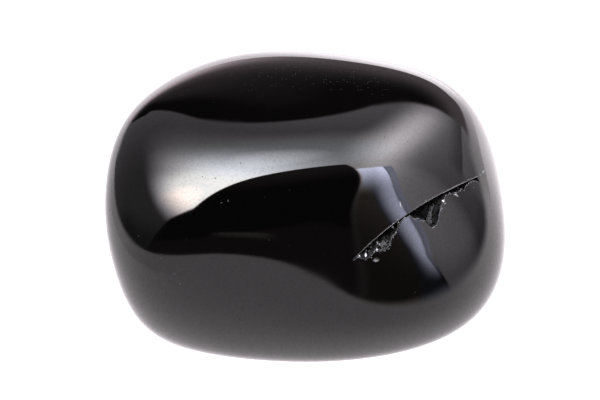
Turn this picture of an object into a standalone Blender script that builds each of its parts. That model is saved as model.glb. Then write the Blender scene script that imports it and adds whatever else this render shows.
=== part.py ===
# A tumbled pebble of black onyx: one solid stone, polished all over, with a short natural crack
# that has lost a few splinters along its lower lip.
#
# The stone is worked out the way a tumbler makes it. A broken block has a dozen rough flats, each
# at its own distance from the middle, and tumbling wears the edges between them round. The surface
# is where the sum of (distance along a flat's normal / that flat's distance) ^ WEAR is 1.
# +Z is up, the front is -Y, and the origin is under the middle of the stone, on its rest face.

import math

import bmesh
import bpy
import numpy as np
from mathutils import Matrix, Vector

MM = 0.001

# Flats of the block before tumbling: azimuth and elevation of the normal in degrees, distance
# from the block's centre in millimetres. Azimuth 0 faces the front and 90 faces right.
FLATS = {
    "front": (-10, 3, 11.4),
    "front_upper": (20, 23, 8.8),
    "front_right": (29, 21, 11.9),
    "front_left": (-32, 29, 12.2),
    "right": (98, -25, 13.6),
    "right_shoulder": (86, 41, 9.7),
    "left": (-114, -26, 10.1),
    "left_shoulder": (-76, 57, 11.6),
    "top": (174, 76, 6.1),
    "back_slope": (159, 42, 11.2),
    "back": (179, -15, 11.0),
    "back_left": (-141, 5, 12.3),
    "back_right": (155, -8, 13.6),
    "base": (0, -90, 8.0),
}
WEAR = 5.3              # 2 would be worn to an egg, 20 would still be a sharp block
REST_HEIGHT = 7.9       # centre of the block above the flat that the stone lies on, mm
SPHERE_LEVELS = 5       # subdivision of the starting sphere

# The crack runs along an arc: its elevation is highest at the middle azimuth, degrees.
CRACK_START = 19.5
CRACK_END = 89.0
CRACK_MIDDLE = 54.5
CRACK_TOP = 15.2
CRACK_BOW = 12.0        # drop from the top to either end, degrees
CRACK_HALF_WIDTH = 0.10  # half width of the open groove, mm
CRACK_POINTS = 24

# Splinters lost along the crack's lower lip, each a three-sided pyramid pit: azimuth on the crack
# in degrees, then half length, reach below the crack, depth and sideways lean of the tip in mm.
SPLINTERS = {
    "tail_fleck": (21.5, 0.35, 0.40, 0.25, 0.10),
    "left_low": (28.5, 0.75, 0.60, 0.45, 0.15),
    "left_main": (34.5, 1.05, 0.90, 0.70, 0.20),
    "left_high": (39.5, 0.50, 0.55, 0.40, 0.05),
    "right_main": (52.5, 1.15, 1.50, 0.90, 0.25),
    "right_tooth": (58.5, 0.60, 0.95, 0.60, 0.10),
    "right_high": (63.0, 0.50, 0.45, 0.35, 0.00),
    "right_fleck": (70.0, 0.35, 0.28, 0.20, 0.00),
    "end_fleck": (85.5, 0.45, 0.22, 0.20, 0.00),
}
LIP_OVERLAP = 0.08      # how far a pit reaches above the crack's line, mm
PIT_RIM = 0.30          # how far a pit's cutter stands out of the surface, mm


def direction(azimuth, elevation):
    """Unit vector or vectors for an azimuth and elevation in degrees."""
    azimuth = np.radians(azimuth)
    elevation = np.radians(elevation)
    return np.stack([np.sin(azimuth) * np.cos(elevation),
                     -np.cos(azimuth) * np.cos(elevation),
                     np.sin(elevation)], axis=-1)


flats = np.array(list(FLATS.values()), dtype=float)
flat_slopes = direction(flats[:, 0], flats[:, 1]) / flats[:, 2:3]


def worn_radius(directions):
    """Distance from the centre to the worn surface along unit directions, mm."""
    reach = np.maximum(directions @ flat_slopes.T, 0.0)
    return (reach ** WEAR).sum(axis=-1) ** (-1.0 / WEAR)


def worn_normal(directions):
    """Unit normals of the worn surface along unit directions."""
    reach = np.maximum(directions @ flat_slopes.T, 0.0)
    gradient = (reach ** (WEAR - 1.0)) @ flat_slopes
    return gradient / np.linalg.norm(gradient, axis=-1, keepdims=True)


def crack_elevation(azimuth):
    """Elevation of the crack's line at an azimuth, degrees."""
    half_span = (CRACK_END - CRACK_START) / 2.0
    return CRACK_TOP - CRACK_BOW * ((azimuth - CRACK_MIDDLE) / half_span) ** 2


def crack_point(azimuth):
    """Point of the surface on the crack's line, from the block's centre, mm."""
    along = direction(azimuth, crack_elevation(azimuth))
    return along * worn_radius(along)[..., None]


def new_material():
    material = bpy.data.materials.new("black_onyx")
    material.use_nodes = True
    shader = material.node_tree.nodes["Principled BSDF"]
    shader.inputs["Base Color"].default_value = (0.006, 0.006, 0.007, 1.0)
    shader.inputs["Metallic"].default_value = 0.0
    shader.inputs["Roughness"].default_value = 0.04
    shader.inputs["IOR"].default_value = 1.54
    return material


def make_stone(collection):
    """Subdivided sphere whose points are moved out to the worn surface, flattened underneath."""
    bpy.ops.mesh.primitive_ico_sphere_add(subdivisions=SPHERE_LEVELS, radius=1.0)
    stone = bpy.context.object
    stone.name = "onyx_stone"
    for owner in list(stone.users_collection):
        owner.objects.unlink(stone)
    collection.objects.link(stone)

    points = np.empty(len(stone.data.vertices) * 3)
    stone.data.vertices.foreach_get("co", points)
    points = points.reshape(-1, 3)
    points /= np.linalg.norm(points, axis=1, keepdims=True)
    points *= worn_radius(points)[:, None]
    points[:, 2] = np.maximum(points[:, 2], -REST_HEIGHT)
    stone.data.vertices.foreach_set("co", points.ravel())
    stone.data.update()
    return stone, (points.min(axis=0) + points.max(axis=0)) / 2.0


def make_groove_cutter(collection):
    """Square wire, tapered to both ends, whose centre line lies on the surface along the crack."""
    curve = bpy.data.curves.new("crack_wire", "CURVE")
    curve.dimensions = "3D"
    curve.bevel_depth = CRACK_HALF_WIDTH
    curve.bevel_resolution = 0
    curve.use_fill_caps = True
    spline = curve.splines.new("POLY")
    spline.points.add(CRACK_POINTS - 1)
    for index, point in enumerate(spline.points):
        share = index / (CRACK_POINTS - 1)
        azimuth = CRACK_START + share * (CRACK_END - CRACK_START)
        point.co = (*crack_point(azimuth), 1.0)
        point.radius = 0.35 + 0.65 * math.sin(math.pi * share)
    wire = bpy.data.objects.new("crack_wire", curve)
    collection.objects.link(wire)

    mesh = bpy.data.meshes.new_from_object(wire.evaluated_get(bpy.context.evaluated_depsgraph_get()))
    work = bmesh.new()
    work.from_mesh(mesh)
    bmesh.ops.remove_doubles(work, verts=work.verts, dist=0.0001)
    bmesh.ops.recalc_face_normals(work, faces=work.faces)
    work.to_mesh(mesh)
    work.free()
    groove = bpy.data.objects.new("crack_groove", mesh)
    groove.matrix_world = wire.matrix_world
    collection.objects.link(groove)
    bpy.data.objects.remove(wire)
    return groove


def make_splinter_cutter(collection, name, azimuth, half_length, reach, depth, lean):
    """Three-sided pyramid: one side along the crack, one corner below it, the tip in the stone."""
    growth = (depth + PIT_RIM) / depth
    work = bmesh.new()
    bmesh.ops.create_cone(work, cap_ends=True, segments=3, radius1=1.0, radius2=0.0, depth=1.0)
    base = sorted((v for v in work.verts if v.co.z < 0), key=lambda v: math.atan2(v.co.y, v.co.x))
    tip = next(v for v in work.verts if v.co.z > 0)
    corners = ((-half_length, LIP_OVERLAP), (lean, -reach), (half_length, LIP_OVERLAP))
    middle = Vector((lean / 3.0, (2.0 * LIP_OVERLAP - reach) / 3.0, 0.0))
    for vertex, (along, across) in zip(base, corners):
        outline = Vector((along, across, 0.0))
        vertex.co = middle + (outline - middle) * growth + Vector((0.0, 0.0, PIT_RIM))
    tip.co = middle + Vector((0.0, 0.0, -depth))
    work.normal_update()
    bmesh.ops.recalc_face_normals(work, faces=work.faces)

    along_crack = Vector(crack_point(azimuth + 0.5) - crack_point(azimuth - 0.5)).normalized()
    outward = Vector(worn_normal(direction(azimuth, crack_elevation(azimuth))))
    across = outward.cross(along_crack).normalized()
    outward = along_crack.cross(across)
    place = Matrix((along_crack, across, outward)).transposed().to_4x4()
    place.translation = Vector(crack_point(azimuth))
    bmesh.ops.transform(work, matrix=place, verts=work.verts)
    mesh = bpy.data.meshes.new(name)
    work.to_mesh(mesh)
    work.free()
    cutter = bpy.data.objects.new(name, mesh)
    collection.objects.link(cutter)
    return cutter


def main():
    for old in list(bpy.data.objects):
        bpy.data.objects.remove(old)
    parts = bpy.data.collections.new("black_onyx_stone")
    cutters = bpy.data.collections.new("crack_cutters")
    for collection in (parts, cutters):
        bpy.context.scene.collection.children.link(collection)

    stone, middle = make_stone(parts)
    tools = [make_groove_cutter(cutters)]
    for name, sizes in SPLINTERS.items():
        tools.append(make_splinter_cutter(cutters, name, *sizes))

    # Everything so far is in millimetres about the block's centre. It becomes metres about the
    # point under the middle of the stone.
    to_row = Matrix.Scale(MM, 4) @ Matrix.Translation((-middle[0], -middle[1], REST_HEIGHT))
    for item in (stone, *tools):
        item.data.transform(to_row)
    stone.data.materials.append(new_material())
    for tool in tools:
        tool.hide_render = True
        tool.display_type = "WIRE"
        cut = stone.modifiers.new("cut_" + tool.name, "BOOLEAN")
        cut.operation = "DIFFERENCE"
        cut.solver = "EXACT"
        cut.object = tool
    stone.data.shade_smooth()
    stone.data.set_sharp_from_angle(angle=math.radians(30.0))


main()
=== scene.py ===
# Black onyx stone: one tumbled pebble, polished black, with a short open crack on its right front.
# The stone lies on a pale table inside a lit tent, and the dark opening of the tent is at the front.

import bpy
import numpy as np
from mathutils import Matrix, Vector


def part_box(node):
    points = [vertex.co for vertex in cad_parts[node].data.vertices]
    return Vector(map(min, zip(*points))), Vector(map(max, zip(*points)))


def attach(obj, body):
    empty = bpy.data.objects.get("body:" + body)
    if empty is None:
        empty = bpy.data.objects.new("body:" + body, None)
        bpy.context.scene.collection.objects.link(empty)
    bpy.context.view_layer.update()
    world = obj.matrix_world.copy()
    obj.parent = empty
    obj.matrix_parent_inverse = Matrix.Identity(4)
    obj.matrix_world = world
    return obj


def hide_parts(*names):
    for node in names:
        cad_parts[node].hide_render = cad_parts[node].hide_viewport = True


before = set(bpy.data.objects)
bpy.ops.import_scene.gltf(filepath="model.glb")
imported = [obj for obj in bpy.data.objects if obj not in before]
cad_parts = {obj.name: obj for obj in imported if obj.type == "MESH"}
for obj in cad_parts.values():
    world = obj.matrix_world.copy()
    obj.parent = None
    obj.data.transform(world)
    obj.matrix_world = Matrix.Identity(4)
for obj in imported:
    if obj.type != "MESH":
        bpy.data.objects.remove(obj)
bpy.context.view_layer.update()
mm = 0.001


# Node trees

class Wire:
    # A socket of a node tree. Operators on it add Math nodes, and node() adds any other kind.
    def __init__(self, tree, socket=None):
        self.tree = tree
        self.socket = socket

    def node(self, kind, settings=None, inputs=None, output=0):
        made = self.tree.nodes.new(kind)
        for name, value in (settings or {}).items():
            setattr(made, name, value)
        for name, value in (inputs or {}).items():
            if isinstance(value, Wire):
                self.tree.links.new(value.socket, made.inputs[name])
            else:
                made.inputs[name].default_value = value
        return Wire(self.tree, made.outputs[output])

    def math(self, operation, first, second=0.0, third=0.0):
        return self.node("ShaderNodeMath", {"operation": operation}, {0: first, 1: second, 2: third})

    def __add__(self, other):
        return self.math("ADD", self, other)

    def __radd__(self, other):
        return self.math("ADD", other, self)

    def __sub__(self, other):
        return self.math("SUBTRACT", self, other)

    def __rsub__(self, other):
        return self.math("SUBTRACT", other, self)

    def __mul__(self, other):
        return self.math("MULTIPLY", self, other)

    def __truediv__(self, other):
        return self.math("DIVIDE", self, other)

    def __pow__(self, other):
        return self.math("POWER", self, other)

    def most(self, other):
        return self.math("MAXIMUM", self, other)

    def least(self, other):
        return self.math("MINIMUM", self, other)

    # the least of two, rounded off where they differ by less than the reach
    def roundedLeast(self, other, reach):
        return self.math("SMOOTH_MIN", self, other, reach)

    # 0 below low, 1 above high, an S-curve between them; low may be the larger of the two
    def ramp(self, low, high):
        settings = {"interpolation_type": "SMOOTHSTEP"}
        if low < high:
            return self.node("ShaderNodeMapRange", settings, {"Value": self, 1: low, 2: high, 3: 0.0, 4: 1.0})
        return self.node("ShaderNodeMapRange", settings, {"Value": self, 1: high, 2: low, 3: 1.0, 4: 0.0})

    # the same S-curve, from 0 to the top value
    def rise(self, low, high, top):
        return self.ramp(low, high) * top

    # this value as a share: first colour * (1 - share) + second colour * share
    def mix(self, first, second):
        return self.node("ShaderNodeMix", {"data_type": "RGBA"}, {0: self, 6: first, 7: second}, 2)


def newTree(name):
    # a material with an empty node tree, and a wire to start its nodes from
    made = bpy.data.materials.new(name)
    made.use_nodes = True
    made.node_tree.nodes.clear()
    return made, Wire(made.node_tree)


def finishTree(start, shader):
    # joins the shader to the material's output
    out = start.tree.nodes.new("ShaderNodeOutputMaterial")
    start.tree.links.new(shader.socket, out.inputs["Surface"])


# Meshes

def addMesh(name, points, faces):
    # a mesh and an object of the same name, in the scene
    mesh = bpy.data.meshes.new(name)
    mesh.from_pydata(points.tolist(), [], faces)
    made = bpy.data.objects.new(name, mesh)
    bpy.context.scene.collection.objects.link(made)
    return made


# Stone

stone = {
    # flats of the block before tumbling: azimuth, elevation, distance from its centre in mm
    "flats": {
        "front": (-10, 3, 11.4), "frontUpper": (20, 23, 8.8), "frontRight": (29, 21, 11.9),
        "frontLeft": (-32, 29, 12.2), "right": (98, -25, 13.6), "rightShoulder": (86, 41, 9.7),
        "left": (-114, -26, 10.1), "leftShoulder": (-76, 57, 11.6), "top": (174, 76, 6.1),
        "backSlope": (159, 42, 11.2), "back": (179, -15, 11.0), "backLeft": (-141, 5, 12.3),
        "backRight": (155, -8, 13.6), "base": (0, -90, 8.0)},
    "wear": 5.3,            # the exponent that rounds the edges between the flats
    "restHeight": 7.9,      # centre of the block above the table, mm
    "columns": 496,
    "rows": 200,
    # where the grid is closer: from, to and the width of the change in degrees, and how many times closer
    "closeColumns": (18.0, 90.5, 6.0, 5.0),
    "closeRows": (-10.5, 1.2, 2.0, 7.5),
    # rows start to bend to the crack's arc, follow it, leave it and are level again at these, degrees
    "bendRows": (-75.0, -14.0, 6.0, 70.0),
    "fineSteps": 8001}

crack = {
    "start": 19.5, "end": 89.0, "middle": 54.25,    # azimuths, degrees
    "top": 15.2, "bow": 12.0,                       # elevation at the middle, and the drop to the ends
    "level": 1.1, "levelling": 0.4,                 # after so many bows it levels out, over so many
    "lip": 0.03,            # how far the slit reaches above the arc, mm
    "slit": 0.10,           # width of the open slit under the upper edge, mm
    "slitDepth": 0.75,
    "slitTaper": 0.4,       # exponent by which the slit closes to its ends
    "slitNarrowest": 0.35,  # its width at the ends, as a share
    "edgeStep": 0.06,       # depth of a splinter's bed at its lower edge, mm
    "bedStart": 0.16,       # greatest depth of the smallest bed, what each mm of reach adds, and the limit
    "bedGain": 0.45,
    "bedLimit": 0.60,
    "bedRise": (0.25, 0.95),        # shares of the reach between which a bed rises to its lower edge
    "crystalRise": (0.42, 0.62),    # and between which its crystals begin
    "bedReach": 0.015,      # least reach that has a bed, mm
    "ragged": 0.05,         # unevenness of the lower edge, mm
    "raggedRise": (0.05, 0.3),      # reach between which that comes in
    "grain": 0.17,          # size of the broken crystals, mm
    "grainRelief": 0.09,
    "grainTilt": 1.2,       # how steeply their faces lean
    "chip": 0.408,          # size of the chips of the black beds, mm
    "chipRelief": 0.14,
    "chipTilt": 0.8,
    "leastDepth": 0.04,     # mm
    "faceDepth": 0.018,     # depth beyond which a face has the broken finish, mm
    "ledgeTilt": 0.4,
    # where the crystals lie, in mm: first along, first below, length and height
    "field": (-1.0, -1.5, 18.0, 5.0),
    "grainSeed": 11, "chipSeed": 23,
    "fineSteps": 800,
    # half widths of the pale lines at crystal seams, lower edge and upper edge, and the crumbs' reach, mm
    "seamLine": 0.03, "rimLine": 0.035, "lipLine": 0.035, "crumbReach": 0.12,
    # how far the lower line lies inside its edge, and the upper line and the crumbs above the arc, mm
    "rimInset": 0.02, "lipRaise": 0.065, "crumbRaise": 0.05,
    "crumbEnds": (0.0, 0.5, 10.5, 11.3),    # distances along between which crumbs begin and end
    "upperCrumbs": 0.35,    # how many lie above the break, as a share
    "seamTone": 0.11, "grainTone": 0.09,    # paleness of the seams, and of the few palest crystals
    "rimLeast": 0.3, "lipLeast": 0.7, "ledgeLeast": 0.6,    # least share of their paleness
    "glintEdge": (0.2, 0.95),               # shares of its radius between which a glint fades
    # lower edge of the lost splinters: distance along the crack and reach below it, mm
    "splinters": (
        (-0.30, 0.0), (-0.10, 0.04), (0.25, 0.12), (0.38, 0.27), (0.50, 0.45), (0.62, 0.60), (0.78, 0.67),
        (1.08, 0.79), (1.27, 0.66), (1.43, 0.68), (1.60, 0.75), (1.79, 0.86), (1.92, 0.97), (2.14, 1.06),
        (2.37, 1.07), (2.54, 1.00), (2.66, 0.85), (2.78, 0.68), (3.13, 0.55), (3.37, 0.38), (3.57, 0.15),
        (3.75, 0.04), (4.02, 0.0), (4.12, 0.06), (4.28, 0.03), (4.39, 0.10), (4.47, 0.27), (4.61, 0.48),
        (4.81, 0.56), (4.90, 0.69), (5.00, 0.83), (5.19, 0.95), (5.25, 1.20), (5.31, 1.49), (5.41, 1.60),
        (5.69, 1.62), (5.91, 1.37), (6.07, 1.16), (6.30, 0.90), (6.47, 0.73), (6.70, 0.54), (6.91, 0.38),
        (7.15, 0.18), (7.33, 0.09), (7.46, 0.17), (7.66, 0.13), (7.77, 0.23), (8.02, 0.27), (8.16, 0.33),
        (8.47, 0.30), (8.60, 0.20), (8.78, 0.41), (8.97, 0.25), (9.21, 0.17), (9.47, 0.12), (9.68, 0.02),
        (9.88, 0.06), (10.11, 0.07), (10.31, 0.11), (10.50, 0.35), (10.61, 0.25),
        (10.68, 0.05), (10.94, 0.0)),
    # how much of the lower half of a bed is crystals, and how pale its lower and upper edges are, by
    # distance along the crack
    "crystals": (
        (0.2, 0.0), (0.4, 0.6), (1.1, 0.5), (1.3, 0.1), (1.5, 0.2), (1.7, 1.0), (2.6, 1.0), (2.75, 0.0)),
    "rimTone": (
        (0.2, 0.0), (0.4, 0.02), (1.2, 0.03), (2.5, 0.05), (2.7, 0.08), (3.2, 0.11), (3.5, 0.05), (3.7, 0.0),
        (4.4, 0.02), (5.1, 0.04), (5.4, 0.01), (6.2, 0.02), (6.9, 0.04), (7.3, 0.0)),
    "lipTone": (
        (0.40, 0.0), (0.55, 0.08), (1.2, 0.15), (3.0, 0.15), (3.15, 0.0), (4.5, 0.0), (4.8, 0.05),
        (5.2, 0.10), (5.6, 0.14), (8.8, 0.16), (9.4, 0.08), (9.9, 0.05), (10.9, 0.03), (11.0, 0.0)),
    # ledges left inside a splinter, and a fleck outside: corners, depth in mm and tone
    "ledges": (
        (((5.30, 1.08), (5.46, 0.94), (5.70, 0.76), (5.97, 0.55), (6.30, 0.36), (6.27, 0.43), (6.06, 0.57),
          (5.87, 0.77), (5.68, 1.09), (5.53, 1.45), (5.34, 1.43)), 0.13, 0.06),
        (((1.38, 1.12), (1.47, 1.22), (1.62, 1.44), (1.38, 1.35), (1.20, 1.12)), 0.04, 0.2)),
    # bright painted highlights where crystal faces glint, and pale flecks, both painted into the colour:
    # along, below, radius in mm, and strength
    "glints": (
        (-0.15, -0.02, 0.05, 0.15), (-0.03, 0.02, 0.06, 0.25), (0.10, 0.06, 0.06, 0.4),
        (0.25, 0.10, 0.09, 0.9), (0.76, 0.47, 0.11, 1.0), (1.04, 0.18, 0.09, 0.95), (0.83, 0.15, 0.07, 0.4),
        (1.30, 0.35, 0.07, 0.15), (0.90, 0.35, 0.07, 0.25), (1.10, 0.50, 0.07, 0.2),
        (1.40, 0.65, 0.07, 0.35), (1.61, 0.69, 0.09, 0.9), (1.84, 0.47, 0.07, 0.7), (1.95, 0.63, 0.07, 0.7),
        (3.10, -0.09, 0.08, 0.3), (3.11, 0.21, 0.09, 0.9), (3.53, 0.12, 0.06, 0.8), (3.15, 0.55, 0.06, 0.3),
        (6.88, 0.44, 0.11, 1.0), (6.89, 0.64, 0.08, 0.4), (6.53, 0.84, 0.09, 0.15), (6.39, 0.95, 0.06, 0.12),
        (7.85, 0.40, 0.07, 0.4), (7.97, 0.45, 0.09, 0.7), (8.01, 0.59, 0.08, 0.5), (8.62, 0.28, 0.06, 0.5),
        (8.66, 0.19, 0.05, 0.35), (8.70, 0.09, 0.05, 0.3), (9.77, -0.12, 0.07, 0.2),
        (10.84, -0.04, 0.08, 0.2), (11.84, -0.22, 0.13, 0.45), (9.70, 0.58, 0.07, 0.1),
        (12.15, -0.28, 0.12, 0.35), (11.25, -0.09, 0.10, 0.15), (4.12, -0.58, 0.09, 0.7),
        (4.00, -0.88, 0.08, 0.5), (4.05, -0.74, 0.08, 0.4), (4.28, -0.62, 0.08, 0.6),
        (5.77, -0.14, 0.09, 0.12), (5.20, -0.56, 0.05, 0.07), (5.15, -0.33, 0.05, 0.07))}


def direction(azimuth, elevation):
    # unit vectors: azimuth 0 faces the front (-Y), 90 faces right (+X)
    azimuth, elevation = np.radians(azimuth), np.radians(elevation)
    return np.stack([np.sin(azimuth) * np.cos(elevation),
                     -np.cos(azimuth) * np.cos(elevation),
                     np.sin(elevation) + 0.0 * azimuth], axis=-1)


flatTable = np.array(list(stone["flats"].values()), float)
flatSlopes = direction(flatTable[:, 0], flatTable[:, 1]) / flatTable[:, 2:]


def wornRadius(ways):
    # (sum of (way . normal / distance) ^ wear over the flats that face that way) ^ (-1 / wear)
    reach = np.maximum(ways @ flatSlopes.T, 0.0)
    return (reach ** stone["wear"]).sum(-1) ** (-1.0 / stone["wear"])


def wornNormal(ways):
    # sum of normal / distance, each times reach ^ (wear - 1), made a unit vector
    reach = np.maximum(ways @ flatSlopes.T, 0.0)
    slope = (reach ** (stone["wear"] - 1.0)) @ flatSlopes
    return slope / np.linalg.norm(slope, axis=-1, keepdims=True)


def easeStep(value, low, high):
    # 0 below low, 1 above high, and share ^ 2 * (3 - 2 * share) between them
    share = np.clip((value - low) / (high - low), 0.0, 1.0)
    return share * share * (3.0 - 2.0 * share)


def crackLine(azimuth):
    # elevation: top - bow * (share of the half length) ^ 2, levelling out beyond the ends
    away = (azimuth - crack["middle"] + 180.0) % 360.0 - 180.0
    drop = (away / ((crack["end"] - crack["start"]) / 2.0)) ** 2
    beyond = 1.0 - np.exp(-(drop - crack["level"]) / crack["levelling"])
    drop = np.where(drop < crack["level"], drop, crack["level"] + crack["levelling"] * beyond)
    return crack["top"] - crack["bow"] * drop


def closeSpaced(low, high, count, closeLow, closeHigh, change, gain):
    # count values from low to high, gain times closer together between closeLow and closeHigh: the
    # running total of the crowding is cut into equal parts
    fine = np.linspace(low, high, stone["fineSteps"])
    begun = easeStep(fine, closeLow - change, closeLow)
    ended = easeStep(fine, closeHigh, closeHigh + change)
    crowding = 1.0 + (gain - 1.0) * begun * (1.0 - ended)
    total = np.concatenate([[0.0], np.cumsum((crowding[1:] + crowding[:-1]) / 2.0)])
    return np.interp(np.linspace(0.0, total[-1], count), total, fine)


def crystalCells(along, below, size, seed):
    # Worley cells: each point takes the random traits of the nearest seed of a jittered square grid.
    # Tilt is the height of the cell's leaning face, (trait - 0.5) * offset from the seed in both ways,
    # and seam is how much farther the next nearest seed is.
    rng = np.random.default_rng(seed)
    firstAlong, firstBelow, length, height = crack["field"]
    shape = (int(length / size), int(height / size))
    jitter = rng.random(shape + (2,))
    traits = rng.random(shape + (4,))
    column = np.floor((along - firstAlong) / size).astype(int)
    row = np.floor((below - firstBelow) / size).astype(int)
    best = np.full(along.shape, np.inf)
    second = np.full(along.shape, np.inf)
    trait = np.zeros(along.shape + (4,))
    offset = np.zeros(along.shape + (2,))
    for stepColumn in (-1, 0, 1):
        for stepRow in (-1, 0, 1):
            i = np.clip(column + stepColumn, 0, shape[0] - 1)
            j = np.clip(row + stepRow, 0, shape[1] - 1)
            fromAlong = along - ((column + stepColumn + jitter[i, j, 0]) * size + firstAlong)
            fromBelow = below - ((row + stepRow + jitter[i, j, 1]) * size + firstBelow)
            gap = np.hypot(fromAlong, fromBelow)
            closer = gap < best
            second = np.where(closer, best, np.minimum(second, gap))
            best = np.where(closer, gap, best)
            trait = np.where(closer[..., None], traits[i, j], trait)
            offset = np.where(closer[..., None], np.stack([fromAlong, fromBelow], -1), offset)
    tilt = ((trait[..., 2:] - 0.5) * offset).sum(-1)
    return np.moveaxis(trait, -1, 0), tilt, second - best


def withinCorners(along, below, corners):
    # even-odd rule: a point is inside where a line from it crosses an odd number of edges
    inside = np.zeros(along.shape, bool)
    for (firstAlong, firstBelow), (nextAlong, nextBelow) in zip(corners, corners[1:] + corners[:1]):
        crosses = (firstBelow > below) != (nextBelow > below)
        if nextBelow == firstBelow:
            continue
        share = (below - firstBelow) / (nextBelow - firstBelow)
        inside ^= crosses & (along < firstAlong + share * (nextAlong - firstAlong))
    return inside


def profile(name, along):
    # a value along the crack, in straight lines between its stops
    stops = np.array(crack[name])
    return np.interp(along, stops[:, 0], stops[:, 1])


def hump(distance, width):
    # exp(-(distance / width) ^ 2): 1 in the middle of a line, and falling to nothing beside it
    return np.exp(-(distance / width) ** 2)


def uneven(trait, least):
    # least + 2 * (1 - least) * trait: a factor that averages 1
    return least + 2.0 * (1.0 - least) * trait


def slitDepth(along, below, reach):
    # half an ellipse across the slit, which narrows and gets shallower towards the crack's ends
    length = crack["splinters"][-1][0]
    closing = np.sin(np.pi * np.clip(along / length, 0.0, 1.0)) ** crack["slitTaper"]
    narrowest = crack["slitNarrowest"]
    width = crack["slit"] * (narrowest + (1.0 - narrowest) * closing) * easeStep(reach, 0.0, 0.04)
    middle = (below + crack["lip"]) / np.maximum(width, 0.01) - 0.5
    return crack["slitDepth"] * closing * np.clip(1.0 - 4.0 * middle ** 2, 0.0, 1.0) ** 0.5


def crackRelief(below, along):
    # Depth under the polished surface, paleness of the broken surface with its painted glints, and crumbs on
    # the polish beside it, at each grid point. The slit is cut where it is deeper than the bed.
    (lift, rough, _, shade), tilt, seam = crystalCells(along, below, crack["grain"], crack["grainSeed"])
    (chipLift, _, _, _), chipTilt, _ = crystalCells(along, below, crack["chip"], crack["chipSeed"])
    reach = profile("splinters", along)
    reach = reach + crack["ragged"] * (rough - 0.5) * easeStep(reach, *crack["raggedRise"])
    share = np.clip(below / np.maximum(reach, 0.02), 0.0, 1.0)
    inBed = (reach > crack["bedReach"]) & (below > -crack["lip"]) & (below < reach)

    # a bed is deep under the upper edge and rises to a low step at its lower edge
    deepest = np.minimum(crack["bedStart"] + crack["bedGain"] * reach, crack["bedLimit"])
    bed = crack["edgeStep"] + (deepest - crack["edgeStep"]) * (1.0 - easeStep(share, *crack["bedRise"]))
    crystal = profile("crystals", along) * easeStep(share, *crack["crystalRise"])
    bed = bed + crack["chipRelief"] * (chipLift - 0.5) + crack["chipTilt"] * chipTilt
    bed = bed + crystal * (crack["grainRelief"] * (lift - 0.5) + crack["grainTilt"] * tilt)
    depth = np.where(inBed, np.maximum(bed, crack["leastDepth"]), 0.0)
    depth = np.maximum(depth, slitDepth(along, below, reach))

    # paleness: crystals have pale seams, and the edges of the break are crushed to a pale line
    grainTone = crystal * (crack["seamTone"] * hump(seam, crack["seamLine"]) * rough
                           + crack["grainTone"] * lift ** 5)
    rim = profile("rimTone", along) * hump(below - reach + crack["rimInset"], crack["rimLine"])
    lip = profile("lipTone", along) * hump(below + crack["lipRaise"], crack["lipLine"])
    tone = np.where(inBed, grainTone, 0.0) + rim * uneven(shade, crack["rimLeast"])
    for corners, ledgeDepth, ledgeTone in crack["ledges"]:
        ledge = withinCorners(along, below, corners)
        depth = np.where(ledge, ledgeDepth + crack["ledgeTilt"] * tilt, depth)
        tone = np.where(ledge, ledgeTone * uneven(lift, crack["ledgeLeast"]), tone)
    tone = np.maximum(tone, lip * uneven(lift, crack["lipLeast"]))
    # painted highlights: each glint raises the tone to a pale spot that fades over its radius; some spots are
    # pale flecks
    for glintAlong, glintBelow, radius, strength in crack["glints"]:
        fromMiddle = np.hypot(along - glintAlong, below - glintBelow) / radius
        tone = np.maximum(tone, strength * (1.0 - easeStep(fromMiddle, *crack["glintEdge"])))

    # crumbs thin out with the distance from the break, and towards its ends
    above = -crack["crumbRaise"] - below
    outside = np.where(below > reach, below - reach, np.where(above > 0.0, above, 0.0))
    begin, begun, ending, end = crack["crumbEnds"]
    ends = easeStep(along, begin, begun) * (1.0 - easeStep(along, ending, end))
    crumbs = hump(outside, crack["crumbReach"]) * (outside > 0.0) * ends
    return depth, tone, crumbs * np.where(below < 0.0, crack["upperCrumbs"], 1.0)


def onSurface(azimuth, elevation):
    # a point of the worn block: the way to it * the block's radius that way
    ways = direction(azimuth, elevation)
    return ways * wornRadius(ways)[..., None]


def crackPlace(azimuth, elevation, points):
    # distance along the crack, and below its arc at the same azimuth, in mm
    fine = np.linspace(crack["start"], crack["end"], crack["fineSteps"])
    steps = np.linalg.norm(np.diff(onSurface(fine, crackLine(fine)), axis=0), axis=1)
    travelled = np.concatenate([[0.0], np.cumsum(steps)])
    pace = travelled[-1] / (crack["end"] - crack["start"])
    along = np.interp(azimuth, fine, travelled)
    along = along + pace * (np.minimum(azimuth - fine[0], 0.0) + np.maximum(azimuth - fine[-1], 0.0))
    line = crackLine(azimuth)
    below = np.sign(line - elevation) * np.linalg.norm(points - onSurface(azimuth, line), axis=-1)
    return along, below


def gridFaces(rows, columns):
    # numbers of the points, row by row, and a face between each four of them, closed all round
    index = np.arange(rows * columns).reshape(rows, columns)
    right = np.roll(index, -1, axis=1)
    return index, np.stack([index[:-1], right[:-1], right[1:], index[1:]], -1).reshape(-1, 4)


def placeOnTable(vertices):
    # millimetres to metres, centred on the solid of the frame and standing at its foot
    solidLow, solidHigh = (np.array(corner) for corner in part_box("onyx_stone"))
    goal = np.append((solidLow[:2] + solidHigh[:2]) / 2.0, solidLow[2])
    centre = (vertices.min(0) + vertices.max(0)) / 2.0
    return (vertices - [centre[0], centre[1], -stone["restHeight"]]) * mm + goal


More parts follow.
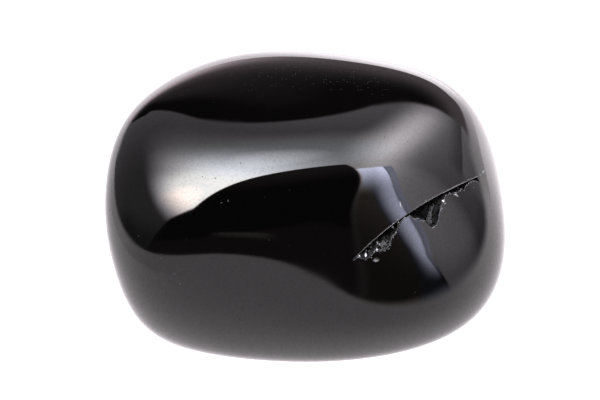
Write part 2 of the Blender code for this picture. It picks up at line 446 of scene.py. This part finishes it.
def buildStone():
    # The block's worn surface on a grid of azimuth and elevation. The rows follow the crack's arc
    # where it runs, and close up to a single point at the top and at the foot.
    columns, rows = stone["columns"], stone["rows"]
    rowBend, rowBent, rowLeave, rowLevel = stone["bendRows"]
    azimuth, row = np.meshgrid(closeSpaced(-180.0, 180.0, columns + 1, *stone["closeColumns"])[:-1],
                               closeSpaced(-90.0, 90.0, rows + 2, *stone["closeRows"])[1:-1])
    follow = easeStep(row, rowBend, rowBent) * (1.0 - easeStep(row, rowLeave, rowLevel))
    elevation = row + crackLine(azimuth) * follow
    points = onSurface(azimuth, elevation)
    along, below = crackPlace(azimuth, elevation, points)
    depth, tone, crumbs = crackRelief(below, along)
    points = points - wornNormal(direction(azimuth, elevation)) * depth[..., None]

    points[..., 2] = np.maximum(points[..., 2], -stone["restHeight"])
    foot = np.array([[0.0, 0.0, -stone["restHeight"]]])
    crown = onSurface(np.zeros(1), np.array([90.0]))
    vertices = placeOnTable(np.concatenate([points.reshape(-1, 3), foot, crown]))

    index, quads = gridFaces(rows, columns)
    footFan = np.stack([np.full(columns, rows * columns), np.roll(index[0], -1), index[0]], -1)
    crownFan = np.stack([np.full(columns, rows * columns + 1), index[-1], np.roll(index[-1], -1)], -1)
    pebble = addMesh("onyx_pebble", vertices, quads.tolist() + footFan.tolist() + crownFan.tolist())
    mesh = pebble.data
    # the tone attribute carries the break's paleness and its painted glints, as colour
    for name, values in (("breakToneAndGlints", tone), ("edgeDust", crumbs)):
        values = np.append(values.ravel(), [0.0, 0.0]).astype(np.float32)
        mesh.attributes.new(name, "FLOAT", "POINT").data.foreach_set("value", values)

    # faces inside the break are flat and take the second finish
    deep = depth.ravel()[quads].max(1) > crack["faceDepth"]
    broken = np.append(deep, np.zeros(2 * columns, bool))
    mesh.polygons.foreach_set("material_index", broken.astype(np.int32))
    mesh.polygons.foreach_set("use_smooth", ~broken)
    mesh.update()
    print("stone:", len(vertices), "points,", int(broken.sum()), "broken faces")
    return pebble


# Finish of the stone

polish = {
    "colour": (0.0001, 0.0001, 0.0001, 1.0),
    "crumbColour": (0.16, 0.16, 0.17, 1.0),
    "dustColour": (0.03, 0.028, 0.027, 1.0),
    "dustRoughness": 0.8,
    "roughness": 0.035,
    "hazeRoughness": (0.45, 0.75, 0.02),    # what haze adds to the roughness
    "dullRoughness": 0.4,                   # and what crumbs and crushed edges add
    "index": 1.54,
    # patterns: spacing in mm, radius as a share of it, and rarity; then how much each hides
    "pits": (0.38, 0.18, 0.96), "pitCover": 0.75,
    "dust": (0.22, 0.27, 0.95), "dustCover": 0.3,
    "crumbs": (0.11, 0.5, 1.1), "crumbPaleness": 0.4,
    "dull": (0.45, 0.7, 0.13),      # specks of duller polish
    "speckEdge": (0.5, 0.1),        # full share of a speck's radius, and the span of its rarity
    "patchCore": 0.3,               # full share of a patch's reach
    "paleRise": (0.0, 0.2),
    # noises: size in mm, and detail
    "dullNoise": (0.14, 2.0), "grainNoise": (0.09, 2.0), "rippleNoise": (3.0, 1.0), "hazeNoise": (5.0, 3.0),
    "relief": 0.004,                # mm, and the shares of ripple and grain in it
    "ripple": 0.6, "grain": 0.02,
    # where pits and dust lie thicker: centre and reach in mm, and how much thicker
    "pitted": ((-6.5, -6.3, 13.2, 3.6), (5.9, -2.9, 13.6, 2.2), (-9.9, -8.5, 6.3, 3.5)), "pitting": 0.3,
    "dusty": ((-1.9, 5.8, 12.5, 5.5), (3.0, 4.8, 12.8, 4.5), (-9.9, -8.5, 6.3, 3.0)), "dusting": 0.45}

breakage = {
    "colour": (0.0006, 0.0005, 0.0005, 1.0),
    # pale colour of broken crystal, and of the painted glints
    "crystalAndGlintColour": (0.36, 0.36, 0.37, 1.0),
    "roughness": 0.4,
    "index": 1.15,
    "specular": 0.3,
    "sugarNoise": (0.05, 2.0),      # the finest grain: size in mm, and detail
    "sugarRelief": 0.02,    # mm
    "sugarStrength": 0.6}


def specks(place, thicker, spacing, radius, rarity):
    # round dots in a few of the cells of a cell pattern: (random + thicker) above the rarity
    cells = {"Vector": place, "Scale": 1.0 / (spacing * mm)}
    distance = place.node("ShaderNodeTexVoronoi", None, cells, "Distance")
    colour = place.node("ShaderNodeTexVoronoi", None, cells, "Color")
    chance = place.node("ShaderNodeSeparateColor", None, {0: colour}, 0)
    core, span = polish["speckEdge"]
    return distance.ramp(radius, core * radius) * (chance + thicker).ramp(rarity, rarity + span)


def patches(place, spots):
    # 1 in the middle of each spot, 0 beyond its reach, and the most of them where they overlap
    total = None
    for right, back, height, reach in spots:
        spot = (right * mm, back * mm, height * mm)
        away = place.node("ShaderNodeVectorMath", {"operation": "DISTANCE"}, {0: place, 1: spot}, "Value")
        share = away.ramp(reach * mm, polish["patchCore"] * reach * mm)
        total = share if total is None else total.most(share)
    return total


def noise(place, size, detail):
    # values around 0.5 that vary over the size
    return place.node("ShaderNodeTexNoise", None,
                      {"Vector": place, "Scale": 1.0 / (size * mm), "Detail": detail}, 0)


def attribute(start, name):
    # a value that the mesh holds at each point
    return start.node("ShaderNodeAttribute", {"attribute_name": name}, output="Fac")


def bumps(start, height, strength, relief):
    # strength * relief in mm * height, as a change of the normal
    return start.node("ShaderNodeBump", None,
                      {"Height": height, "Strength": strength, "Distance": relief * mm})


def surface(start, inputs):
    # the stone's own shader, with the rest of its inputs as they come
    return start.node("ShaderNodeBsdfPrincipled", None, inputs)


def polishedFinish():
    # black gloss, paler and duller by the break's tone, which holds painted glints, and by crumbs; pits and
    # dust hide part of it: dark specks in its lights, pale ones in its darks
    made, start = newTree("onyx_polish")
    place = start.node("ShaderNodeTexCoord", output="Object")
    tone = attribute(start, "breakToneAndGlints")
    crumbs = specks(place, attribute(start, "edgeDust"), *polish["crumbs"])
    height = (noise(place, *polish["rippleNoise"]) * polish["ripple"]
              + noise(place, *polish["grainNoise"]) * polish["grain"])
    haze = noise(place, *polish["hazeNoise"]).rise(*polish["hazeRoughness"])
    colour = (crumbs * polish["crumbPaleness"]).mix(polish["colour"], polish["crumbColour"])
    gloss = surface(start, {
        "Base Color": tone.mix(colour, breakage["crystalAndGlintColour"]),
        "Roughness": polish["roughness"] + haze + (crumbs + tone).least(1.0) * polish["dullRoughness"],
        "IOR": polish["index"],
        "Normal": bumps(start, height, 1.0, polish["relief"])})

    pits = specks(place, patches(place, polish["pitted"]) * polish["pitting"], *polish["pits"])
    dust = specks(place, patches(place, polish["dusty"]) * polish["dusting"], *polish["dust"])
    specked = (pits * polish["pitCover"] + dust * polish["dustCover"]).least(1.0)
    cover = (specked + noise(place, *polish["dullNoise"]).rise(*polish["dull"])).least(1.0)
    matt = surface(start, {
        "Base Color": specked.ramp(*polish["paleRise"]).mix(polish["colour"], polish["dustColour"]),
        "Roughness": polish["dustRoughness"],
        "Specular IOR Level": 0.0})
    finishTree(start, start.node("ShaderNodeMixShader", None, {0: cover, 1: gloss, 2: matt}))
    return made


def brokenFinish():
    # black stone, turned to pale sugary crystal by the break's tone, which also holds painted glints of
    # crystal faces
    made, start = newTree("onyx_break")
    place = start.node("ShaderNodeTexCoord", output="Object")
    sugar = noise(place, *breakage["sugarNoise"])
    finishTree(start, surface(start, {
        "Base Color": attribute(start, "breakToneAndGlints").mix(breakage["colour"], breakage["crystalAndGlintColour"]),
        "Roughness": breakage["roughness"],
        "IOR": breakage["index"],
        "Specular IOR Level": breakage["specular"],
        "Normal": bumps(start, sugar, breakage["sugarStrength"], breakage["sugarRelief"])}))
    return made


# Table, tent and camera

table = {
    "radius": 50.0,             # mm
    "sides": 256,
    "farLight": 1.04,
    "sideLight": 1.3,           # how much brighter it is beside and behind the stone than in front
    "sideRise": (0.97, 0.1),    # forward parts of the way between which that light comes up
    "nearLight": 7.0,           # added close to the stone
    "nearReach": 7.3,           # how far that light reaches, mm
    # how much stronger the near light is on the right, and on the left of the back, and the azimuth of both
    "nearRight": 0.97, "rightAzimuth": 105,
    "nearLeft": 2.3, "leftAzimuth": -120,
    "nearRise": (-0.2, 1.0),
    "colour": (1.04, 0.974, 1.015, 1.0)}

# Directions are azimuth and elevation in degrees. A circle adds its angular radius, and a soft spot the
# angles at which it ends and at which it is full. An edge, rise or fall is a pair of limits for ramp(),
# and with a third number, the light or share that it comes to, for rise().
tent = {
    "radius": 6000.0,           # mm
    "columns": 96,
    "rows": 45,
    "highest": 88.0,            # elevation of its upper rim, which one face closes
    "frontHalf": (-0.1, 0.1),
    "colour": (1.04, 0.973, 1.03, 1.0),
    "crownColour": (0.965, 0.998, 1.08, 1.0),
    "crownTint": (0.6, 0.9),
    "opening": {                # the dark gap in front, where two circles overlap, and a nick at its foot
        "upper": (25, -16, 69.8), "right": (-11.8, 33.8, 52.9), "rounding": 0.03, "edge": (-0.010, 0.014),
        "nick": ((-50, -4), (-47, 10.6), (-34.2, 16), (-10, 14), (0, 0)), "nickRounding": 0.02,
        "nickEdge": (-0.01, 0.02),
        "light": 0.03, "upperRise": (0.35, 0.8, 0.11), "sillFall": (0.03, 0.012, 0.03),
        "sill": ((-17, 2.1), (2, 0.6)), "sillSpot": (-7, 0.7, 18, 4), "sillEdge": (-0.001, 0.002),
        "sillFade": (0.03, 0.004), "sillGlint": 0.24, "colour": (1.15, 0.93, 0.95, 1.0)},
    "gap": {                    # the dark gap behind
        "low": ((138.5, -5.6), (147.7, 6), (157.7, 11.7), (179.8, 16.6), (205.8, 16.4), (212.5, 8.4),
                (213.3, 0)),
        "high": ((168.6, 13.3), (179.1, 20.5), (189, 26.3), (195, 27.2), (203.1, 15.1), (209.2, 8)),
        "rounding": 0.02, "edge": (-0.01, 0.02), "light": 0.02, "footFall": (0.18, 0.0, 0.26),
        "leftSpot": (-172, 6, 12, 5), "leftLight": 0.09, "colour": (1.17, 0.96, 1.04, 1.0)},
    "key": {                    # the big soft light, left of the front
        "centre": (-36.5, 32.3), "light": 19.3, "falloff": 2.5, "side": (-31.8, 68.5, 70.5),
        "sideEdge": (-0.07, 0.07), "foot": (38.5, 63.9, 80.6), "footSoftness": 0.18, "extraSoftness": 0.26,
        "sharpFoot": (-50, 10, 45.6, 8.1), "warmSpot": (-52, 17.5, 15, 2), "warmLight": 0.24,
        "tintRise": (2.0, 14.0), "colour": (1.01, 1.0, 0.985, 1.0), "warmColour": (1.14, 0.985, 0.92, 1.0)},
    "arc": {                    # the weaker light on the right, an arch over a dark middle
        "spot": (104, 2.5, 63.3, 0), "middle": (100.3, -25.3, 73.9, 30.7), "falloff": 3.5,
        "leftEdge": (-0.3, -0.1), "gapShade": (-0.12, 0.0, 0.45), "light": 13.6},
    "fill": {
        "light": 0.3, "back": (0.2, -0.9, 0.17), "right": (-0.2, 0.8, 0.15),
        "wallAcross": (0.2, 0.7), "wallUp": (0.0, 0.58, 1.02), "upper": (0.5, 1.0, 1.8),
        "crown": (0.9, 1.0, 2.5), "patch": (60.3, 15.3, 30.8, 0), "patchLight": 0.8,
        # how the lights dim near the floor, on the right and on the left
        "dimRight": (0.3, 0.6), "dimRightFoot": (0.08, -0.03, 0.28),
        "dimLeft": (-0.3, -0.6), "dimLeftAhead": (0.0, 0.35), "dimLeftFoot": (0.22, -0.02, 0.6)},
    "sheet": {                  # a fainter sheet standing on the floor, on the right of the back
        "top": ((120, 4.2), (140, -0.8)), "edge": (-0.004, 0.004), "spot": (130, 0, 26, 14), "light": 0.28,
        "shadow": (-0.16, -0.01, 0.4)},
    "window": {                 # the bluish strip beside the opening, between two circles
        "left": (110, -20, 71.6), "right": (-9.4, 38.2, 61.5), "rightFoot": ((41.6, 9), (47.2, 0.4)),
        "top": ((50, 37.6), (70.5, 32.8)), "topEdge": (-0.01, 0.04), "rightEdge": (-0.003, 0.006),
        "across": (0.2, 0.4), "footEdge": (-0.02, 0.08),
        "light": 0.08, "footRise": (-0.02, 0.12, 0.17), "upperRise": (0.14, 0.64, 11.5),
        "rightRise": (0.1, 0.95, 4.0), "lowGain": (0.3, 0.1, 0.4), "leastWidth": 0.002,
        "divider": 0.009, "dividerShade": 0.45, "tintAcross": (0.0, 0.15), "tintUp": (0.15, 0.3),
        "colour": (0.93, 0.967, 1.26, 1.0), "footColour": (1.15, 0.95, 0.85, 1.0)},
    "sideStrip": {              # the fainter strip on the window's right, wider towards its top
        "width": 0.013, "widening": 0.10, "edge": (-0.004, 0.004), "light": 1.96,
        "upperRise": (0.1, 0.4, 0.91)},
    "floor": {                  # carries on from the table, below the horizon
        "horizon": -4.1, "frontTilt": 0.006, "rightTilt": 0.003, "dip": (145.2, -3.2, 12, 5.1),
        "dipDepth": 0.036, "softness": 0.005, "rightSoftness": (0.4, 0.8, 0.045),
        "leftSoftness": (-0.75, -0.95, 0.035),
        "glowSpot": (-152, 0, 31.8, 14.1), "glowFall": (0.09, -0.05, 1.73),
        "dimSpot": (137.8, 0.4, 22.8, 2), "dim": 0.48, "backSpot": (168.3, -13.5, 14.8, 0), "back": 1.14,
        "leftSpot": (-75, 0, 50, 20), "leftDim": 0.22}}


def cosine(angle):
    # of an angle in degrees
    return float(np.cos(np.radians(angle)))


def numbers(vector):
    # plain numbers, as a socket takes them
    return tuple(float(part) for part in vector)


class Look:
    # The way from the middle of the table to a point of the tent or table, a unit vector, and its
    # upward, rightward and forward parts.
    def __init__(self, start):
        self.place = start.node("ShaderNodeTexCoord", output="Object")
        self.way = start.node("ShaderNodeVectorMath", {"operation": "NORMALIZE"}, {0: self.place}, 0)
        self.up = self.toward(0, 90)
        self.right = self.toward(90, 0)
        self.front = self.toward(0, 0)

    def alongVector(self, vector):
        return self.way.node("ShaderNodeVectorMath", {"operation": "DOT_PRODUCT"},
                             {0: self.way, 1: numbers(vector)}, "Value")

    # cosine of the angle from a direction
    def toward(self, azimuth, elevation):
        return self.alongVector(direction(azimuth, elevation))

    # sine of the angle from the great circle through two directions, positive on its right-hand side
    # when going from the first to the second
    def acrossEdge(self, first, second):
        normal = np.cross(direction(*second), direction(*first))
        return self.alongVector(normal / np.linalg.norm(normal))

    # cosine of the angle from the centre - cosine of the radius: positive inside
    def inCircle(self, azimuth, elevation, radius):
        return self.toward(azimuth, elevation) - cosine(radius)

    # 1 inside the inner angle, 0 outside the outer one
    def inSpot(self, azimuth, elevation, outer, inner):
        return self.toward(azimuth, elevation).ramp(cosine(outer), cosine(inner))

    # least of the distances inside a chain of edges, with rounded corners: positive inside
    def inOutline(self, corners, rounding):
        inside = self.acrossEdge(corners[0], corners[1])
        for first, second in zip(corners[1:-1], corners[2:]):
            inside = inside.roundedLeast(self.acrossEdge(first, second), rounding)
        return inside


def openingLight(look, ahead):
    # share: (both circles or the nick) * the front half; light: a dark tone that rises upwards and at
    # the sill, where a faint line also glints
    data = tent["opening"]
    circles = look.inCircle(*data["upper"]).roundedLeast(look.inCircle(*data["right"]), data["rounding"])
    nick = look.inOutline(data["nick"], data["nickRounding"])
    share = circles.ramp(*data["edge"]).most(nick.ramp(*data["nickEdge"])) * ahead
    sill = look.acrossEdge(*data["sill"])
    sill = sill.ramp(*data["sillEdge"]) * sill.ramp(*data["sillFade"]) * look.inSpot(*data["sillSpot"])
    light = data["light"] + look.up.rise(*data["upperRise"]) + look.up.rise(*data["sillFall"])
    return share, light + sill * data["sillGlint"]


def gapLight(look, ahead, low):
    # share: (the low or the high outline) * the back half; light: a dark tone that rises to the foot
    # and in a spot on the left
    data = tent["gap"]
    high = look.inOutline(data["high"], data["rounding"])
    share = low.ramp(*data["edge"]).most(high.ramp(*data["edge"])) * (1.0 - ahead)
    light = data["light"] + look.up.rise(*data["footFall"])
    return share, light + look.inSpot(*data["leftSpot"]) * data["leftLight"]


def keyLight(look, warm):
    # light * cosine from its centre ^ falloff, inside the foot's circle and the side's circle; the foot
    # is softer the farther left it goes
    data = tent["key"]
    softness = data["footSoftness"] + (1.0 - look.inSpot(*data["sharpFoot"])) * data["extraSoftness"]
    key = look.toward(*data["centre"]).most(0.0) ** data["falloff"] * data["light"]
    key = key * (look.inCircle(*data["foot"]) / softness).ramp(0.0, 1.0)
    key = key * look.inCircle(*data["side"]).ramp(*data["sideEdge"])
    return key * (1.0 + warm * data["warmLight"])


def arcLight(look, low):
    # light * spot * (1 - middle) ^ falloff, on the right only, and dimmer towards the gap
    data = tent["arc"]
    arc = look.inSpot(*data["spot"]) * (1.0 - look.inSpot(*data["middle"])) ** data["falloff"]
    return arc * look.right.ramp(*data["leftEdge"]) * (1.0 - low.rise(*data["gapShade"])) * data["light"]


def fillLight(look):
    # a weak light from everywhere + more from the back, the right, the right wall, above and one patch
    data = tent["fill"]
    fill = data["light"] + look.front.rise(*data["back"]) + look.right.rise(*data["right"])
    fill = fill + look.right.ramp(*data["wallAcross"]) * look.up.rise(*data["wallUp"])
    fill = fill + look.up.rise(*data["upper"]) + look.up.rise(*data["crown"])
    return fill + look.inSpot(*data["patch"]) * data["patchLight"]


def dimNearFloor(look, glow):
    # glow * (1 - share on the right) * (1 - share on the left)
    data = tent["fill"]
    onRight = look.right.ramp(*data["dimRight"]) * look.up.rise(*data["dimRightFoot"])
    onLeft = look.right.ramp(*data["dimLeft"]) * look.front.ramp(*data["dimLeftAhead"])
    return glow * (1.0 - onRight) * (1.0 - onLeft * look.up.rise(*data["dimLeftFoot"]))


def addSheet(look, glow):
    # the sheet's light below its top edge, and a shadow above it
    data = tent["sheet"]
    below = look.acrossEdge(*data["top"])
    sheet = below.ramp(*data["edge"])
    spot = look.inSpot(*data["spot"])
    return glow * (1.0 - spot * below.rise(*data["shadow"]) * (1.0 - sheet)) + spot * sheet * data["light"]


def addWindow(look, glow, beside):
    # The window brightens upwards and from its left edge to its right, where the strip follows behind a
    # thin dark divider. Returns the light, the share that both cover, and the place across the window:
    # from left / (from left + from right).
    data = tent["window"]
    fromLeft = look.inCircle(*data["left"]).most(0.0)
    fromRight = look.inCircle(*data["right"]).most(look.acrossEdge(*data["rightFoot"]))
    across = fromLeft / (fromLeft + fromRight.most(0.0) + data["leastWidth"])
    beside = beside * look.right.ramp(*data["across"]) * look.acrossEdge(*data["top"]).ramp(*data["topEdge"])
    lit = look.up.ramp(*data["footEdge"])
    window = beside * fromRight.ramp(*data["rightEdge"])
    light = across.rise(*data["rightRise"]) * (1.0 + look.up.rise(*data["lowGain"]))
    light = (light + look.up.rise(*data["upperRise"])) * lit + data["light"] + look.up.rise(*data["footRise"])

    side = tent["sideStrip"]
    outerEdge = fromRight + look.up * side["widening"] + side["width"]
    strip = beside * fromRight.ramp(*data["rightEdge"][::-1]) * outerEdge.ramp(*side["edge"])
    stripLight = (side["light"] + look.up.rise(*side["upperRise"])) * lit
    divider = beside * fromRight.ramp(-data["divider"], 0.0) * fromRight.ramp(data["divider"], 0.0)

    cover = (window + strip).least(1.0)
    glow = glow * (1.0 - cover) + window * light + strip * stripLight
    return glow * (1.0 - divider * data["dividerShade"]), cover, across


def floorLight(look):
    # 1 + more beside and behind the stone, less a dim spot on the right of the back and one on the left
    data = tent["floor"]
    floor = 1.0 + look.front.rise(*table["sideRise"], table["sideLight"])
    floor = (floor + look.inSpot(*data["backSpot"]) * data["back"]) * table["farLight"]
    floor = floor * (1.0 - look.inSpot(*data["dimSpot"]) * data["dim"])
    return floor * (1.0 - look.inSpot(*data["leftSpot"]) * data["leftDim"])


def aboveFloor(look):
    # height above a slightly tilted horizon with one dip / softness, from -1 to 1
    data = tent["floor"]
    horizon = float(np.sin(np.radians(data["horizon"])))
    level = look.up + look.front * data["frontTilt"] + look.right * data["rightTilt"] - horizon
    level = level + look.inSpot(*data["dip"]) * data["dipDepth"]
    softness = data["softness"] + look.right.rise(*data["rightSoftness"])
    softness = softness + look.right.rise(*data["leftSoftness"])
    return (level / softness).ramp(-1.0, 1.0)


def tentLight():
    # The lights are added up, then each opening and strip hides its share of them:
    # glow * (1 - share) + its own light * share. The floor hides all below the horizon.
    made, start = newTree("tent_light")
    look = Look(start)
    ahead = look.front.ramp(*tent["frontHalf"])
    low = look.inOutline(tent["gap"]["low"], tent["gap"]["rounding"])
    opening, openingGlow = openingLight(look, ahead)
    gap, gapGlow = gapLight(look, ahead, low)
    warm = look.inSpot(*tent["key"]["warmSpot"])
    key = keyLight(look, warm)
    glow = addSheet(look, dimNearFloor(look, fillLight(look) + key + arcLight(look, low)))
    glow = glow * (1.0 - opening) * (1.0 - gap) + opening * openingGlow + gap * gapGlow
    glow, cover, across = addWindow(look, glow, ahead * (1.0 - opening))
    glow = glow + look.up.rise(*tent["floor"]["glowFall"]) * look.inSpot(*tent["floor"]["glowSpot"])
    above = aboveFloor(look)
    strength = glow * above + floorLight(look) * (1.0 - above)

    data = tent["key"]
    tint = key.ramp(*data["tintRise"]).mix(tent["colour"], warm.mix(data["colour"], data["warmColour"]))
    tint = look.up.ramp(*tent["crownTint"]).mix(tint, tent["crownColour"])
    data = tent["window"]
    bluish = across.ramp(*data["tintAcross"]).most(look.up.ramp(*data["tintUp"]))
    tint = cover.mix(tint, bluish.mix(data["footColour"], data["colour"]))
    tint = opening.mix(tint, tent["opening"]["colour"])
    tint = gap.mix(tint, tent["gap"]["colour"])
    tint = above.mix(table["colour"], tint)
    shader = start.node("ShaderNodeEmission", None, {"Color": tint, "Strength": strength})
    finishTree(start, shader)
    return made


def tableLight():
    # far light * (1 + side light) + near light * exp(-distance / reach) * (1 + more on two sides)
    made, start = newTree("table_light")
    look = Look(start)
    distance = start.node("ShaderNodeVectorMath", {"operation": "LENGTH"}, {0: look.place}, "Value")
    fade = distance / (-table["nearReach"] * mm)
    onRight = look.toward(table["rightAzimuth"], 0).rise(*table["nearRise"], table["nearRight"])
    onLeft = look.toward(table["leftAzimuth"], 0).rise(*table["nearRise"], table["nearLeft"])
    near = fade.math("EXPONENT", fade) * table["nearLight"] * (1.0 + onRight + onLeft)
    far = (1.0 + look.front.rise(*table["sideRise"], table["sideLight"])) * table["farLight"]
    shader = start.node("ShaderNodeEmission", None, {"Color": table["colour"], "Strength": far + near})
    finishTree(start, shader)
    return made


def buildTable():
    # a disc: points at equal angles, filled as one polygon
    sides = table["sides"]
    turn = np.linspace(0.0, 2.0 * np.pi, sides + 1)[:-1]
    rim = np.stack([np.cos(turn), np.sin(turn), np.zeros(sides)], -1) * table["radius"] * mm
    disc = addMesh("table", rim, [list(range(sides))])
    disc.data.materials.append(tableLight())


def buildTent():
    # a sphere of azimuth and elevation, hidden from the camera, whose light depends on the direction
    azimuth, elevation = np.meshgrid(np.linspace(-180.0, 180.0, tent["columns"] + 1)[:-1],
                                     np.linspace(-tent["highest"], tent["highest"], tent["rows"]))
    points = (direction(azimuth, elevation) * tent["radius"] * mm).reshape(-1, 3)
    index, quads = gridFaces(*azimuth.shape)
    faces = quads[:, ::-1].tolist() + [index[-1].tolist(), index[0][::-1].tolist()]
    shell = addMesh("tent", points, faces)
    shell.data.materials.append(tentLight())
    shell.visible_camera = False


def buildWorld():
    # plain white all round, beyond the table
    world = bpy.data.worlds.new("studio")
    world.use_nodes = True
    world.node_tree.nodes["Background"].inputs["Color"].default_value = (1.0, 1.0, 1.0, 1.0)
    bpy.context.scene.world = world


view = {
    "aim": (-0.45, -0.86, 6.83),    # mm
    "elevation": 40.65,
    "distance": 300.0,              # mm
    "frameWidth": 38.7,             # mm across the picture at the aim point
    "sensorWidth": 36.0,
    "clip": (0.01, 5.0)}            # m


def buildCamera():
    # lens = sensor width * distance / frame width
    data = bpy.data.cameras.new("camera")
    data.sensor_width = view["sensorWidth"]
    data.lens = data.sensor_width * view["distance"] / view["frameWidth"]
    data.clip_start, data.clip_end = view["clip"]
    camera = bpy.data.objects.new("camera", data)
    bpy.context.scene.collection.objects.link(camera)
    away = Vector(direction(0.0, view["elevation"]))
    camera.location = (Vector(view["aim"]) + away * view["distance"]) * mm
    camera.rotation_euler = (-away).to_track_quat("-Z", "Y").to_euler()
    bpy.context.scene.camera = camera
    bpy.context.scene.view_settings.view_transform = "Standard"


pebble = buildStone()
pebble.data.materials.append(polishedFinish())
pebble.data.materials.append(brokenFinish())
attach(pebble, "root")
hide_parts("onyx_stone")
buildTable()
buildTent()
buildWorld()
buildCamera()
print("stage and camera placed")
